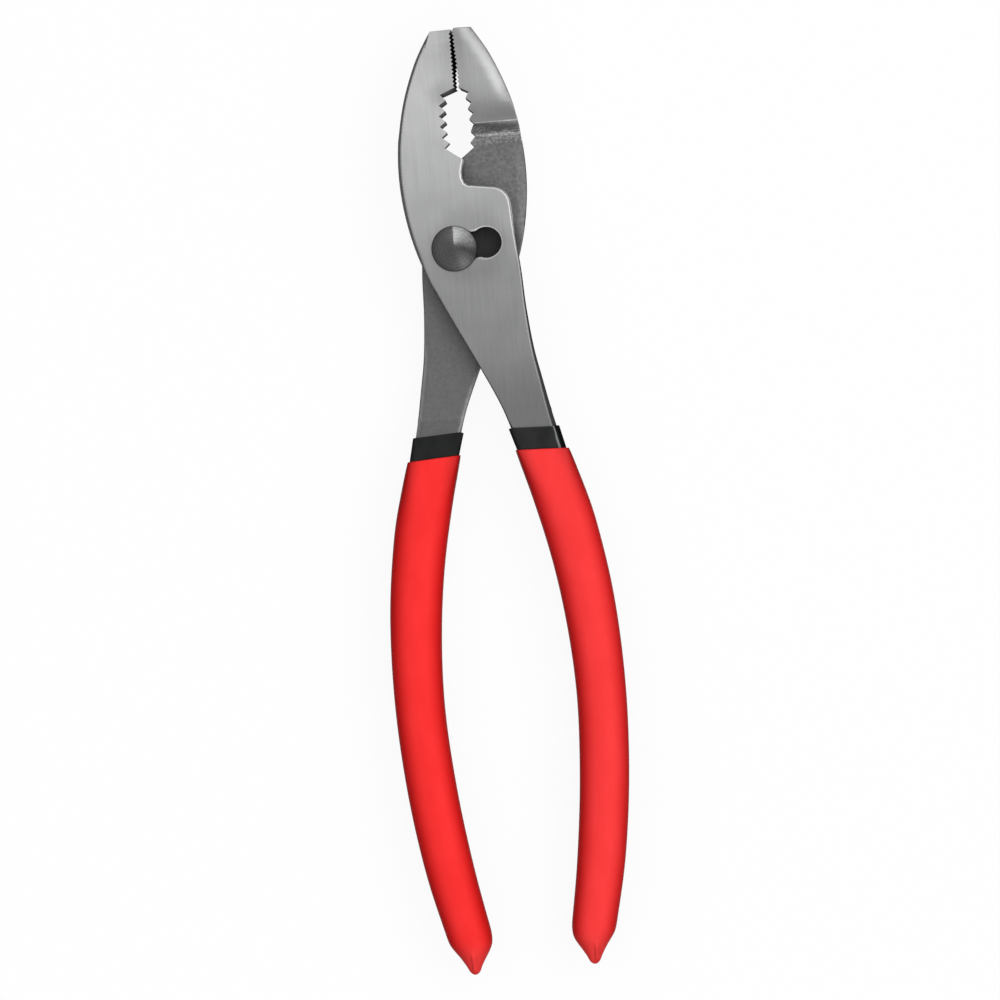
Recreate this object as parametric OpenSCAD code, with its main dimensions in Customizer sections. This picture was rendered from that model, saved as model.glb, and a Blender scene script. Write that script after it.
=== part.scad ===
// Slip joint pliers lying on their back: two turned-over copies of one forging, lapped at the joint,
// held by a flatted pivot bolt and nut, with twice-dipped vinyl handles.
// Millimetres. X runs across the tool, Y towards the jaw tips, Z up through the thickness.
// The origin is on the pivot axis, at the rear face of the bolt and nut that the tool lies on.

/* [Jaws] */
// Distance from the joint centre to the jaw tips
jaw_len = 48.4; // [44:0.2:56]
// Half the width of the head at its widest
head_half_w = 14.2; // [13:0.1:17]
// Width of one jaw at its tip
tip_w = 4.8; // [3.5:0.1:6.5]
// Gap between the closed jaws at their tips
jaw_gap = 0.5; // [0.3:0.05:1]
// Extra gap on each jaw at the root of its flat
jaw_relief = 0.15; // [0:0.05:0.4]
// Offset of the parting line from the centreline
parting_x = 0.4; // [0:0.05:0.6]
// Pitch of the fine serrations on the flat of each jaw
serration_pitch = 0.87; // [0.6:0.01:1.5]
// Depth of the fine serrations
serration_depth = 0.42; // [0.2:0.02:0.6]
// Height of the top of the pipe grip above the joint centre
pipe_top = 35.2; // [33:0.1:38]
// Height of the bottom of the pipe grip above the joint centre
pipe_bottom = 19.1; // [18.5:0.1:21]
// Depth of the tooth roots of the pipe grip from the centreline
pipe_half_w = 4.1; // [3.5:0.1:5]
// Number of teeth on each side of the pipe grip
pipe_teeth = 5; // [3:1:8]
// Depth of the pipe grip teeth on the front half
front_tooth = 1.45; // [0.6:0.05:1.8]
// Depth of the pipe grip teeth on the rear half
rear_tooth = 1.05; // [0.6:0.05:1.8]

/* [Joint] */
// Thickness of each half at the joint
joint_t = 5.2; // [4:0.1:7]
// Half the thickness of the nose at the tips
nose_tip_t = 4.5; // [3.5:0.1:5]
// Height above the joint centre where the nose starts to step down to the lap
step_bottom = 22.9; // [20.5:0.1:25]
// Length of the step from the lap to the full nose
step_len = 8.1; // [4:0.1:10]
// Height of the shelf above the joint centre
shelf_y = 13.6; // [12.5:0.1:14.5]
// Distance of the shoulder from the centreline
shoulder_x = 10.1; // [9:0.1:11.5]
// Radius of the shoulder
shoulder_r = 4.4; // [2:0.1:5]
// Distance between the two seats of the slot
slot_pitch = 7.2; // [7:0.1:9]
// Angle of the slot across the tool, in degrees
slot_angle = 6.5; // [0:0.5:12]
// Offset of the slot's middle from the centreline
slot_shift = 0.25; // [0:0.05:1]
// Diameter of each seat of the slot
seat_d = 6.9; // [6:0.1:7.6]
// Width of the neck between the two seats
neck_w = 5.9; // [4.5:0.1:6]
// Chamfer round the mouth of the slot
slot_chamfer = 0.45; // [0.2:0.05:0.8]
// Clearance between faces that slide on each other
play = 0.05; // [0.02:0.01:0.1]

/* [Pivot bolt and nut] */
// Diameter of the bolt's head
bolt_head_d = 10.1; // [9:0.1:12]
// Height of the straight rim of the head
bolt_rim = 0.5; // [0.3:0.1:1]
// Height of the dome over the rim
bolt_dome = 1.3; // [0.8:0.1:2]
// Diameter of the bolt's thread
thread_d = 5.4; // [4:0.1:6]
// Width across the flats of the nut
nut_flats = 10; // [9:0.5:12]
// Thickness of the nut
nut_t = 2.4; // [2:0.1:4]
// Height of the chamfer at the nut's corners
nut_chamfer = 0.5; // [0.2:0.1:0.8]

/* [Handles] */
// Distance from the joint centre to the lower ends of the grips
handle_len = 161.4; // [150:0.2:180]
// Greatest distance of a handle's middle from the centreline
handle_bow = 20.25; // [18:0.05:24]
// Half the width of the tang where it leaves the neck
tang_half_w = 5.22; // [4.6:0.02:5.6]
// Half the thickness of the tang
tang_half_t = 3.45; // [3:0.05:4]
// Length of bare tang between the neck and the dip line of the black sleeve
bare_len = 3.3; // [1:0.1:5]
// Length of the black sleeve that shows above the red grip
collar_len = 4.9; // [2:0.1:8]
// Thickness of the black sleeve
sleeve_t = 0.55; // [0.5:0.05:0.8]
// Thickness of the red grip at its dip line
lip_t = 0.5; // [0.4:0.05:0.7]
// Thickness of the red grip along the handle
grip_t = 1.3; // [1.1:0.05:1.8]
// Length over which the red grip grows to its full thickness
lip_len = 14; // [8:0.5:24]
// Length of the tapered drip at the lower end of a grip
drip_len = 9.4; // [6:0.2:11]

/* [Hidden] */
$fn = 64;

// Overrun of every cut past the face that it opens
overrun = 1;
// Clearance between the bolt's thread and the nut
thread_gap = 0.02;

// The bolt's shank fits the seats, and its flats pass the neck, with the same clearance
shank_d = seat_d - 2 * play;
shank_flats = neck_w - 2 * play;

// Height of the lap plane above the rear face of the nut
lap_z = nut_t + play + joint_t;

// The seat that holds the bolt at rest, from the joint centre
slot_dir = [cos(slot_angle), sin(slot_angle)];
pivot = [slot_shift, 0] - slot_dir * slot_pitch / 2;

// Places of the outer edge of a jaw, as shares of the head's half width and the jaw's length
jaw_edge_shares = [
    [0.6, 0.868], [0.84, 0.682], [0.968, 0.496], [1, 0.31], [0.935, 0.124], [0.785, -0.052]
];
// Stations down a handle: shares of its length, its bow and its tang's half width
handle_shares = [
    [0.2355, 0.486, 1], [0.285, 0.593, 0.948], [0.384, 0.804, 0.833], [0.496, 0.948, 0.776],
    [0.62, 1, 0.718], [0.743, 0.949, 0.718], [0.855, 0.834, 0.7], [0.942, 0.694, 0.632]
];
// The neck ends and the tang starts at the first station
neck_len = handle_len * handle_shares[0][0];
// Places of the neck's inner edge, as shares of the head's half width and the neck's length
neck_inner_shares = [[0.527, 0.295], [0.265, 0.505], [0.008, 0.708], [-0.19, 0.87]];
// Places of the neck's outer edge, as shares of the shoulder's distance and the neck's length
neck_outer_shares = [[1.345, 0.8], [1.22, 0.615], [1.135, 0.38], [1.1, 0.17], [1.05, 0]];
// Profile of the step from the lap to the nose, as shares of its length and of the joint's thickness
step_shares = [
    [0, 0], [0.12, 0.03], [0.2, 0.1], [0.26, 0.24], [0.4, 0.76],
    [0.47, 0.86], [0.6, 0.93], [0.8, 0.98], [1, 1]
];
// Profile of the drip at the end of a grip, as shares of its length and of the grip's size
drip_shares = [
    [0.16, 0.97], [0.32, 0.9], [0.5, 0.76], [0.66, 0.56],
    [0.79, 0.39], [0.9, 0.27], [0.97, 0.16], [1, 0.05]
];
// Where the drip hangs, as a share of the handle's bow, and the share of its length used to get there
drip_x_share = 0.66;
drip_turn_share = 0.5;
// The joint keeps its full thickness down to this share of the neck
full_t_share = 0.45;
// The lap ends and the tang thickens towards the other side over these shares of the neck
lap_end_share = 0.985;
ramp_end_share = 1.21;
// Half thickness of the tang at its lower end, as a share of the rest
tang_end_share = 0.93;
// Where the first and last tooth roots of the pipe grip lie, as shares of its height
pipe_root_shares = [0.17, 0.9];
// How far the pipe grip closes in at its ends, as a share of its half width
pipe_sag_share = 0.16;
// Height of each pipe grip tooth's crest between its roots, as a share of the pitch
crest_share = 0.45;
// Notch between the pipe grip and the shelf: depth and middle height as shares of the shelf's height
notch_shares = [[0.045, 1.385], [0, 1.22], [0, 1.1], [0.025, 1.035], [0.075, 1]];
// Drop of the shelf towards the shoulder, as a share of the shelf's height
shelf_drop_share = 0.055;

// Steps of a curve between two of its points, and the sides of a sleeve and of a grip
curve_steps = 5;
sleeve_sides = 20;
grip_sides = 24;
// How square the section of a sleeve, of a grip's lip, of a grip and of its drip is
sleeve_square = 8;
lip_square = 7;
grip_square = 2.5;
drip_square = 2;

// Point at t between b and c on the smooth curve through a, b, c and d
function curve_point(a, b, c, d, t) =
    (2 * b + (c - a) * t + (2 * a - 5 * b + 4 * c - d) * t * t + (3 * b - a - 3 * c + d) * t * t * t) / 2;

// Smooth curve through all the points given
function curve(points) =
    let (last = len(points) - 1)
    [
        for (i = [0 : last - 1])
            for (k = [0 : curve_steps - 1])
                curve_point(
                    points[max(i - 1, 0)], points[i], points[i + 1], points[min(i + 2, last)], k / curve_steps
                ),
        points[last]
    ];

function reversed(list) = [for (i = [len(list) - 1 : -1 : 0]) list[i]];

// Stations down the handle as distance below the joint centre, place of the middle and half width
stations = curve([
    for (s = handle_shares) [s[0] * handle_len, s[1] * handle_bow, s[2] * tang_half_w]
]);
tang_end = stations[len(stations) - 1][0];
sleeve_start = neck_len + bare_len;
grip_start = sleeve_start + collar_len;
grip_shoulder = handle_len - drip_len;
middle_table = [for (s = stations) [s[0], s[1]]];
width_table = [for (s = stations) [s[0], s[2]]];
function middle_at(d) = lookup(d, middle_table);
function width_at(d) = lookup(d, width_table);

// Upper and lower face of the front half by its distance below the joint centre
full_t_end = full_t_share * neck_len;
lap_end = lap_end_share * neck_len;
ramp_end = ramp_end_share * neck_len;
tang_end_t = tang_half_t * tang_end_share;
upper_table = [
    [-jaw_len - overrun, nose_tip_t], [-(step_bottom + step_len), joint_t], [full_t_end, joint_t],
    [ramp_end, tang_half_t], [tang_end + overrun, tang_end_t]
];
lower_table = [
    [-jaw_len - overrun, -nose_tip_t],
    for (s = reversed(step_shares)) [-(step_bottom + s[0] * step_len), play - s[1] * (joint_t + play)],
    [lap_end, play], [ramp_end, -tang_half_t], [tang_end + overrun, -tang_end_t]
];
function upper_at(d) = lookup(d, upper_table);
function lower_at(d) = lookup(d, lower_table);

// Serrated flat of a jaw from the pipe grip up to the tip
function flat_face(face_x, phase) =
    let (count = floor((jaw_len - pipe_top) / serration_pitch), pitch = (jaw_len - pipe_top) / count)
    let (x_at = function(y) face_x - jaw_relief * (jaw_len - y) / (jaw_len - pipe_top))
    [
        [x_at(pipe_top), pipe_top],
        for (i = [0 : count - 2])
            let (y = pipe_top + (i + (1 + phase) / 2) * pitch)
            each [[x_at(y) - serration_depth, y], [x_at(y + pitch / 2), y + pitch / 2]],
        [face_x, jaw_len]
    ];

// Toothed side of the pipe grip from its bottom up
function pipe_side(tooth) =
    let (height = pipe_top - pipe_bottom, low = pipe_bottom + pipe_root_shares[0] * height)
    let (rise = (pipe_root_shares[1] - pipe_root_shares[0]) * height, pitch = rise / pipe_teeth)
    let (root_at = function(y) -pipe_half_w * (1 - pipe_sag_share * pow(2 * (y - low) / rise - 1, 2)))
    [
        [root_at(low), low],
        for (i = [0 : pipe_teeth - 1])
            let (crest = low + (i + crest_share) * pitch, root = low + (i + 1) * pitch)
            each [[root_at(crest) + tooth, crest], [root_at(root), root]]
    ];

// Shoulder, shelf and notch on the side of the joint that faces the other jaw
function shoulder_edge() =
    let (shelf_end = shelf_y * (1 - shelf_drop_share), centre = [shoulder_x, shelf_end] - shoulder_r * [1, 1])
    [
        for (a = [0 : 15 : 90]) centre + shoulder_r * [cos(a), sin(a)],
        for (s = reversed(notch_shares)) shelf_y * s
    ];

// Whole outline of a half, counter-clockwise from the outer corner of its tip
function half_outline(face_x, tooth, phase) =
    let (jaw = [[-tip_w, jaw_len], for (s = jaw_edge_shares) [-s[0] * head_half_w, s[1] * jaw_len]])
    let (neck_in = [for (s = neck_inner_shares) [-s[0] * head_half_w, -s[1] * neck_len]])
    let (neck_out = [for (s = neck_outer_shares) [s[0] * shoulder_x, -s[1] * neck_len]])
    let (tang_in = [for (s = handle_shares) [s[1] * handle_bow - s[2] * tang_half_w, -s[0] * handle_len]])
    let (tang_out = [for (s = handle_shares) [s[1] * handle_bow + s[2] * tang_half_w, -s[0] * handle_len]])
    let (shoulder = shoulder_edge(), right = curve(concat(reversed(tang_out), neck_out, [shoulder[0]])))
    concat(
        curve(concat(jaw, neck_in, tang_in)),
        [for (i = [0 : len(right) - 2]) right[i]],
        shoulder,
        pipe_side(tooth),
        flat_face(face_x, phase)
    );

// Closed surface over rings of equal length, with flat ends
function ring_faces(rings, sides) = concat(
    [reversed([for (k = [0 : sides - 1]) k])],
    [
        for (r = [0 : rings - 2])
            for (k = [0 : sides - 1])
                let (a = r * sides + k, b = r * sides + (k + 1) % sides)
                each [[a, b, b + sides], [a, b + sides, a + sides]]
    ],
    [[for (k = [0 : sides - 1]) (rings - 1) * sides + k]]
);

// Side view of a half, run right across the tool
module side_profile() {
    across = 4 * (handle_bow + head_half_w);
    rotate([90, 0, 90])
        linear_extrude(across, center = true)
            polygon(concat(
                [for (p = upper_table) [-p[0], p[1]]],
                reversed([for (p = lower_table) [-p[0], p[1]]])
            ));
}

// One forged half about the joint centre and the lap plane, with its jaw on the left
module forged_half(face_x, tooth, phase) {
    reach = joint_t + overrun;
    intersection() {
        translate([0, 0, -reach])
            linear_extrude(2 * reach)
                polygon(half_outline(face_x, tooth, phase));
        side_profile();
    }
}

// Section of a handle at a distance below the joint centre, as a ring grown by the coat over the tang
function coat_ring(d, middle, half_w, half_t, middle_z, square, sides) = [
    for (k = [0 : sides - 1])
        let (a = 360 * k / sides, power = 2 / square, c = cos(a), s = sin(a))
        [
            middle + half_w * sign(c) * pow(abs(c), power),
            -d,
            middle_z + half_t * sign(s) * pow(abs(s), power)
        ]
];

// Ring over the tang at a distance down, for a coat of the thickness given
function tang_ring(d, coat, square, sides) =
    let (top = upper_at(d), bottom = lower_at(d))
    let (half_t = (top - bottom) / 2 + coat, middle_z = (top + bottom) / 2)
    coat_ring(d, middle_at(d), width_at(d) + coat, half_t, middle_z, square, sides);

// Solid through rings given from the dip line down: they are laid from the lower end up to face outwards
module coat_solid(rings, sides) {
    polyhedron([for (r = reversed(rings)) each r], ring_faces(len(rings), sides));
}

function stations_between(first, last) = [for (s = stations) if (s[0] > first && s[0] < last) s[0]];

// Outside of the black sleeve, from its dip line to just past the end of the tang
module sleeve_outside() {
    downs = concat([sleeve_start], stations_between(sleeve_start + overrun, tang_end));
    rings = [for (d = downs) tang_ring(d, sleeve_t, sleeve_square, sleeve_sides)];
    end = coat_ring(
        tang_end + sleeve_t, middle_at(tang_end), width_at(tang_end) + sleeve_t,
        tang_end_t + sleeve_t, 0, sleeve_square, sleeve_sides
    );
    coat_solid(concat(rings, [end]), sleeve_sides);
}

// Thickness of both coats and squareness of the red grip by distance down
function lip_fade(d) = min(1, (d - grip_start) / lip_len);
function grip_coat(d) = sleeve_t + lip_t + (grip_t - lip_t) * lip_fade(d);
function grip_shape(d) = lip_square + (grip_square - lip_square) * lip_fade(d);

// Outside of the red grip, from its dip line to the drip at its end
module grip_outside() {
    downs = concat([grip_start], stations_between(grip_start + overrun, grip_shoulder), [grip_shoulder]);
    rings = [for (d = downs) tang_ring(d, grip_coat(d), grip_shape(d), grip_sides)];
    half_w = width_at(grip_shoulder) + grip_coat(grip_shoulder);
    half_t = upper_at(grip_shoulder) + grip_coat(grip_shoulder);
    shift = drip_x_share * handle_bow - middle_at(grip_shoulder);
    drip = [
        for (s = drip_shares)
            coat_ring(
                grip_shoulder + s[0] * drip_len,
                middle_at(grip_shoulder) + shift * min(1, s[0] / drip_turn_share),
                half_w * s[1], half_t * s[1], 0, grip_square + (drip_square - grip_square) * s[0], grip_sides
            )
    ];
    coat_solid(concat(rings, drip), grip_sides);
}

// The two halves about the joint centre: the rear one is the same forging turned over
module front_forging() {
    forged_half(parting_x - jaw_gap / 2, front_tooth, 0);
}
module rear_forging() {
    rotate([0, 180, 0]) forged_half(-parting_x - jaw_gap / 2, rear_tooth, 1);
}

// From the joint centre and the lap plane to the tool's own frame
module in_place() {
    translate([-pivot[0], -pivot[1], lap_z]) children();
}

// Double slot in the front half: two round seats, the neck between them and a chamfered mouth
module slot() {
    deep = joint_t + 2 * overrun;
    mouth = slot_chamfer + overrun;
    translate([0, 0, lap_z]) rotate([0, 0, slot_angle]) {
        for (x = [0, slot_pitch])
            translate([x, 0, 0]) {
                translate([0, 0, -overrun]) cylinder(d = seat_d, h = deep);
                translate([0, 0, joint_t - slot_chamfer])
                    cylinder(d1 = seat_d, d2 = seat_d + 2 * mouth, h = mouth);
            }
        translate([0, -neck_w / 2, -overrun]) cube([slot_pitch, neck_w, deep]);
        translate([0, 0, joint_t - slot_chamfer])
            rotate([90, 0, 90])
                linear_extrude(slot_pitch)
                    polygon([
                        [-neck_w / 2, 0], [neck_w / 2, 0],
                        [neck_w / 2 + mouth, mouth], [-neck_w / 2 - mouth, mouth]
                    ]);
    }
}

module front_half() {
    color("silver")
        difference() {
            in_place() front_forging();
            slot();
        }
}

module rear_half() {
    color("darkgray")
        difference() {
            in_place() rear_forging();
            translate([0, 0, nut_t - overrun]) cylinder(d = seat_d, h = joint_t + 2 * overrun);
        }
}

// Domed head on the front face, flats in the slot, round journal in the rear half, thread in the nut
module pivot_bolt() {
    seat_z = lap_z + joint_t + play;
    head_h = bolt_rim + bolt_dome;
    dome_r = (pow(bolt_head_d / 2, 2) + pow(bolt_dome, 2)) / (2 * bolt_dome);
    color("dimgray") {
        intersection() {
            translate([0, 0, seat_z]) cylinder(d = bolt_head_d, h = head_h);
            translate([0, 0, seat_z + head_h - dome_r]) sphere(r = dome_r);
        }
        difference() {
            translate([0, 0, nut_t]) cylinder(d = shank_d, h = seat_z + bolt_rim - nut_t);
            for (turn = [0, 180])
                rotate([0, 0, slot_angle + turn])
                    translate([-shank_d, shank_flats / 2, lap_z])
                        cube([2 * shank_d, shank_d, joint_t + play]);
        }
        cylinder(d = thread_d, h = nut_t + overrun);
    }
}

// Hexagon nut under the rear half, with its outer corners chamfered
module pivot_nut() {
    corner_d = nut_flats / cos(30);
    cone_d = nut_flats + (corner_d - nut_flats) * nut_t / nut_chamfer;
    color("gray")
        difference() {
            intersection() {
                cylinder(d = corner_d, h = nut_t, $fn = 6);
                cylinder(d1 = nut_flats, d2 = cone_d, h = nut_t);
            }
            translate([0, 0, -overrun]) cylinder(d = thread_d + 2 * thread_gap, h = nut_t + 2 * overrun);
        }
}

module front_inner_sleeve() {
    color([0.1, 0.11, 0.11])
        in_place()
            difference() {
                sleeve_outside();
                front_forging();
            }
}

module rear_inner_sleeve() {
    color([0.1, 0.11, 0.11])
        in_place()
            difference() {
                rotate([0, 180, 0]) sleeve_outside();
                rear_forging();
            }
}

module grip_shell() {
    difference() {
        grip_outside();
        sleeve_outside();
    }
}

module front_grip() {
    color("red") in_place() grip_shell();
}

module rear_grip() {
    color("red") in_place() rotate([0, 180, 0]) grip_shell();
}

front_half();
rear_half();
pivot_bolt();
pivot_nut();
front_inner_sleeve();
rear_inner_sleeve();
front_grip();
rear_grip();
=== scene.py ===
import math

import bmesh
import bpy
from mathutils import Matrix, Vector


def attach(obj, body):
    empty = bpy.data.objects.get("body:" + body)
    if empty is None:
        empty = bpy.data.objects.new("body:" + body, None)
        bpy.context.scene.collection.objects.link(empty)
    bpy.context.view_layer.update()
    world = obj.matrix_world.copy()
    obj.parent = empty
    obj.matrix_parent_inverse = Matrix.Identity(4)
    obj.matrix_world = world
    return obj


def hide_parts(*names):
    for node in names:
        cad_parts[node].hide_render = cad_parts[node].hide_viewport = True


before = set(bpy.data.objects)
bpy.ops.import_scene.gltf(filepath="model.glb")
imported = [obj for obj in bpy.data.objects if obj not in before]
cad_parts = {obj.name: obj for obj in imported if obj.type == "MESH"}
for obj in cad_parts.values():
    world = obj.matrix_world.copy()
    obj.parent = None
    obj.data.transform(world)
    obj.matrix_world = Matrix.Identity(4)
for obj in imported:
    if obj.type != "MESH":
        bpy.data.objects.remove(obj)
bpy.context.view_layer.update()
mm = 0.001

# where the joint sits in the shared frame
joint = {
    "axisX": 3.3269 * mm,    # middle line between the handles
    "axisY": 0.4075 * mm,    # joint centre, above the pivot
    "lapZ": 7.65 * mm,       # plane where the two halves meet
}
# what every mesh gets
meshing = {
    "weld": 0.003 * mm,      # points of a copied node closer than this are one
    "flatWeight": 60,        # how strongly the large faces hold their shading
}
print("frame loaded:", len(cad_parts), "nodes")


# small helpers for objects and edit mode
def only(piece):
    if bpy.context.mode != "OBJECT":
        bpy.ops.object.mode_set(mode="OBJECT")
    bpy.ops.object.select_all(action="DESELECT")
    piece.select_set(True)
    bpy.context.view_layer.objects.active = piece


def edit(piece, everything=False):
    only(piece)
    bpy.ops.object.mode_set(mode="EDIT")
    bpy.ops.mesh.select_mode(type="VERT")
    if everything:
        bpy.ops.mesh.select_all(action="SELECT")


def done():
    bpy.ops.object.mode_set(mode="OBJECT")


def choose(piece, kind, test):
    # select vertices, edges or faces of the piece in edit mode by a test on each
    shape = bmesh.from_edit_mesh(piece.data)
    shape.normal_update()
    bpy.ops.mesh.select_all(action="DESELECT")
    bpy.ops.mesh.select_mode(type=kind)
    parts = {"VERT": shape.verts, "EDGE": shape.edges, "FACE": shape.faces}[kind]
    count = 0
    for part in parts:
        if test(part):
            part.select_set(True)
            count += 1
    bmesh.update_edit_mesh(piece.data)
    return count


def shapeOf(piece):
    # a working copy of the mesh with its normals up to date, freed by whoever asks for it
    shape = bmesh.new()
    shape.from_mesh(piece.data)
    shape.normal_update()
    return shape


def middleOf(edge):
    return (edge.verts[0].co + edge.verts[1].co) / 2


def applyAll(piece):
    only(piece)
    for name in [m.name for m in piece.modifiers]:
        bpy.ops.object.modifier_apply(modifier=name)


def displace(piece, weights, moves):
    # move the weighted vertices, along an axis or along their normals
    group = piece.vertex_groups.new(name="moved")
    for index, weight in weights.items():
        group.add([index], weight, "REPLACE")
    for direction, strength in moves:
        move = piece.modifiers.new("move", "DISPLACE")
        move.vertex_group = group.name
        move.direction = direction
        move.mid_level = 0
        move.strength = strength
    applyAll(piece)
    piece.vertex_groups.clear()


def copyNode(node, name):
    piece = bpy.data.objects.new(name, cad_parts[node].data.copy())
    bpy.context.scene.collection.objects.link(piece)
    piece.data.materials.clear()
    edit(piece, everything=True)
    bpy.ops.mesh.customdata_custom_splitnormals_clear()
    bpy.ops.mesh.remove_doubles(threshold=meshing["weld"])
    done()
    return piece


def smoothFaces(piece, angle, weighted=True):
    only(piece)
    bpy.ops.object.shade_smooth_by_angle(angle=math.radians(angle))
    if weighted:
        soft = piece.modifiers.new("flat faces stay flat", "WEIGHTED_NORMAL")
        soft.keep_sharp = True
        soft.weight = meshing["flatWeight"]
        applyAll(piece)


def between(value, low, high):
    return min(1.0, max(0.0, (value - low) / (high - low)))


def blendOver(value, low, high):
    share = between(value, low, high)
    return share * share * (3 - 2 * share)


def mixOf(a, b, share):
    return a + (b - a) * share


# camera, straight above and turned a little
view = {
    "centre": (4.99 * mm, -56.3 * mm), "height": 1.0, "turn": -5.25,
    "field": 222.5 * mm,       # width of the picture at the lap plane
    "sensor": 36, "clip": 0.01,
}
lens = bpy.data.cameras.new("overhead")
lens.sensor_width = view["sensor"]
lens.lens = lens.sensor_width * view["height"] / view["field"]
lens.clip_start = view["clip"]
camera = bpy.data.objects.new("overhead", lens)
camera.location = (view["centre"][0], view["centre"][1], view["height"] + joint["lapZ"])
camera.rotation_euler = (0, 0, math.radians(view["turn"]))
bpy.context.scene.collection.objects.link(camera)
bpy.context.scene.camera = camera
bpy.context.scene.view_settings.view_transform = "Standard"


# forged halves: one forging used twice, the rear one turned over
forging = {
    "strip": 3.0 * mm,         # spacing of the cross cuts along the tool
    "near": 0.3 * mm,          # cut points closer than this to another are merged
    "levelAngle": 0.25,        # faces closer in angle than this become one
    "sharpAngle": 32,          # edges sharper than this are rounded
    "shadeAngle": 36,
    "edge": 0.24 * mm,         # small rounding on the lap side
    "edgeOuter": 0.36 * mm,    # small rounding round the outer face
    "edgeShoulder": 0.8 * mm,  # softer rounding on the notch, the shelf and the shoulder
    "edgeTip": 0.16 * mm,      # crisper at the tips
    "edgeHidden": 1.3 * mm,    # well rounded tang under the coats
    "edgeSteps": 4,
    "tangFrom": -46.2 * mm, "tangOver": 2 * mm, "tangThin": 0.82,   # the tang thins under the red coat
    "tangNear": 0.01 * mm,
    "cellX": 0.4 * mm,         # grid under the soft edges
    "gridX": (-30, 48), "gridY": (-48, 49),
    "speck": 0.001 * mm,       # faces smaller than this are taken out
}
# parts of a half, in millimetres from the joint centre
zones = {
    "teethY": (18.6, 48.2), "teethX": 5.2, "flatsY": 34, "flatsTaper": 0.22,
    "flatX": (-1.6, 2.2), "slotX": (-8, 8.8), "slotY": 6,
    "noseY": 27.5, "noseX": -0.2, "plateY": (-6, 26), "plateX": -5, "handleY": (-50, -14.5),
    "shoulderY": (8, 14.5),    # the shoulder's curve stays free of cross cuts
    "shoulderEdgeY": (2, 19), "shoulderEdgeX": -1, "tipY": 46.5, "hiddenY": -47.5,
}
# how far the outer face pulls in along its edges, and where one amount goes over into the next
draft = {
    "most": 1.6 * mm, "tip": 0.95 * mm, "jaw": 0.72 * mm, "plate": 0.6 * mm, "inner": 0.02 * mm,
    "neck": 0.2 * mm,          # outer handle edge by the pivot
    "tang": 1.05 * mm,         # outer handle edge at the black collar
    "tipY": (15, 47), "jawY": (0, 14), "plateY": (-8, 0), "neckY": 4, "tangY": (-41, 2), "tangPower": 1.6,
    "sideways": 0.2, "wallTilt": 0.3, "faceTilt": 0.8, "above": 2.5,
}
# how far the pipe teeth stand off the solids, at the outer face and at the far face
teeth = {
    "front_half": {"top": (0.0, 0.2), "bottom": (0.3, 0.26)},
    "rear_half": {"top": (-0.45, 0.35), "bottom": (-0.35, 0.75)},
    "rows": ((26.0, 34.6, 1.0), (18.6, 26.0, 0.5)),   # from, to, and the share of the shift
    "levels": (4.6, 2.6, 0.6, -1.4, -3.4, -5.4), "levelHalf": 1,
}
flats = {
    "count": 31, "first": 35.2, "pitch": 0.44, "near": 0.22,
    "lean": (0.65 * mm, 1.12 * mm), "leanY": (37, 42),   # they lean over below the face, more at the tips
    "leanBelow": 6 * mm,
    "close": 0.22 * mm, "closeY": (37, 46),              # the rear flat closes in at its tip
}
tips = {
    "corner": 0.5 * mm, "cornerY": 48.2, "cornerX": 2, "cornerTall": 3 * mm,   # inner corner of the rear tip
    "trim": 0.3 * mm, "trimY": 48.1, "trimX": -1.5,      # inner corner of the front tip
    "back": 0.6 * mm, "backY": 46, "backX": -2.6, "backZ": 2,   # gives back what the draft takes off
}
# the ring round the slot is shallower than a plain chamfer
slotRing = {"face": 5.2 * mm, "deep": 0.6 * mm, "off": 0.01 * mm, "share": 0.55}
# soft edges of the lap side: from where to where, which side, how wide and how deep
softEdges = [
    {"rise": (29.0, 35), "fall": (60, 61), "side": -1, "wide": 3.7 * mm, "drop": 1.05 * mm},
    {"rise": (0, 5), "fall": (20, 23), "side": -1, "wide": 1.9 * mm, "drop": 0.5 * mm},
    {"rise": (-61, -60), "fall": (-25, -16), "side": 1, "wide": 1.3 * mm, "drop": 0.42 * mm},
    {"rise": (-61, -60), "fall": (-25, -16), "side": -1, "wide": 1.1 * mm, "drop": 0.36 * mm},
]
lapSide = {"tilt": -0.1, "flat": 0.7, "sideways": 0.2, "past": 4}   # which faces and edges belong to it


def turnOver(piece):
    edit(piece, everything=True)
    centre = (joint["axisX"], 0, joint["lapZ"])
    bpy.ops.transform.rotate(value=math.pi, orient_axis="Y", center_override=centre)
    done()


def fromJoint(point):
    # millimetres from the joint centre and the lap plane
    across = point.x - joint["axisX"]
    along = point.y - joint["axisY"]
    return across / mm, along / mm, (point.z - joint["lapZ"]) / mm


def inTeeth(point):
    x, y, z = fromJoint(point)
    reach = zones["teethX"] - zones["flatsTaper"] * max(0, y - zones["flatsY"])
    return zones["teethY"][0] < y < zones["teethY"][1] and abs(x) < reach


def inFlats(point, level):
    x, y, z = fromJoint(point)
    return abs(y - level) < flats["near"] and zones["flatX"][0] < x < zones["flatX"][1]


def inSlot(point):
    x, y, z = fromJoint(point)
    return abs(y) < zones["slotY"] and zones["slotX"][0] < x < zones["slotX"][1]


def inSoftZone(point):
    x, y, z = fromJoint(point)
    nose = y > zones["noseY"] and x < zones["noseX"]
    plate = zones["plateY"][0] < y < zones["plateY"][1] and x < zones["plateX"]
    return nose or plate or zones["handleY"][0] < y < zones["handleY"][1]


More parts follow.
